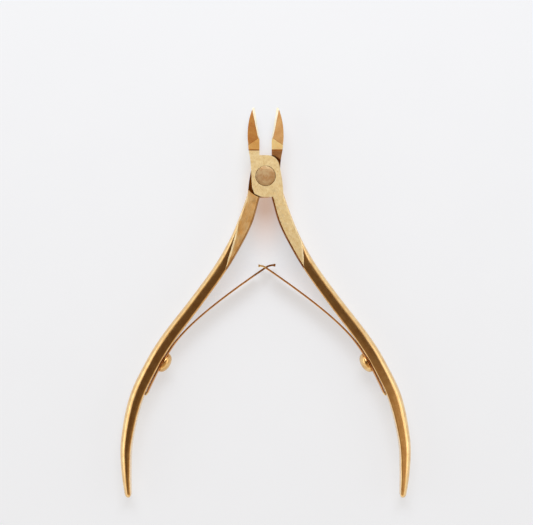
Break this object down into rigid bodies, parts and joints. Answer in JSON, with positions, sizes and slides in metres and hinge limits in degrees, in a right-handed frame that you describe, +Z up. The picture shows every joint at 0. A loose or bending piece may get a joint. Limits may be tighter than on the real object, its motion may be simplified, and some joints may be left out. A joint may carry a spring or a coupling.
{
  "type": "cuticle nipper",
  "caption": "Lap-jointed cuticle nipper with pointed ground jaws, long bowed handles and two crossed leaf springs that hold it open.",
  "frame": {"origin": "on the pivot's axis, in the plane that the nipper rests on", "axes": "+Y from the pivot to the blade tips, +X to the right seen from the front, +Z up along the pivot"},
  "size_m": [0.077, 0.1035, 0.006],
  "materials": {
    "satin_gold": "gold-plated steel, satin-ground joint and jaws, mirror-polished handle",
    "polished_gold": "gold-plated steel, mirror-polished handle, satin shank and jaw",
    "rivet_gold": "flush-ground rivet head with circular grinding marks",
    "spring_gold": "thin plated spring steel",
    "dome_gold": "polished domed rivet head"
  },
  "bodies": {
    "front_body": {"front_half": "satin_gold", "pivot_rivet": "rivet_gold", "right_spring_rivet": "dome_gold"},
    "back_body": {"back_half": "polished_gold", "left_spring_rivet": "dome_gold"},
    "left_leaf": {"left_leaf_spring": "spring_gold"},
    "right_leaf": {"right_leaf_spring": "spring_gold"}
  },
  "joints": [
    {"name": "jaw_pivot", "type": "hinge", "parent": "front_body", "child": "back_body", "pos_m": [0, 0, 0.003], "axis": [0, 0, 1], "range_deg": [0, 18], "stiffness_Nm_per_rad": 1},
    {"name": "left_leaf_bend", "type": "hinge", "parent": "back_body", "child": "left_leaf", "pos_m": [-0.0236, -0.0441, 0.003], "axis": [0, 0, 1], "range_deg": [0, 6.5], "deforming": ["left_leaf_spring"]},
    {"name": "right_leaf_bend", "type": "hinge", "parent": "front_body", "child": "right_leaf", "pos_m": [0.0236, -0.0441, 0.003], "axis": [0, 0, 1], "range_deg": [-6.5, 0], "deforming": ["right_leaf_spring"]}
  ],
  "couplings": [
    {"joint": "left_leaf_bend", "follows": "jaw_pivot", "ratio": 0.357},
    {"joint": "right_leaf_bend", "follows": "jaw_pivot", "ratio": -0.357}
  ]
}
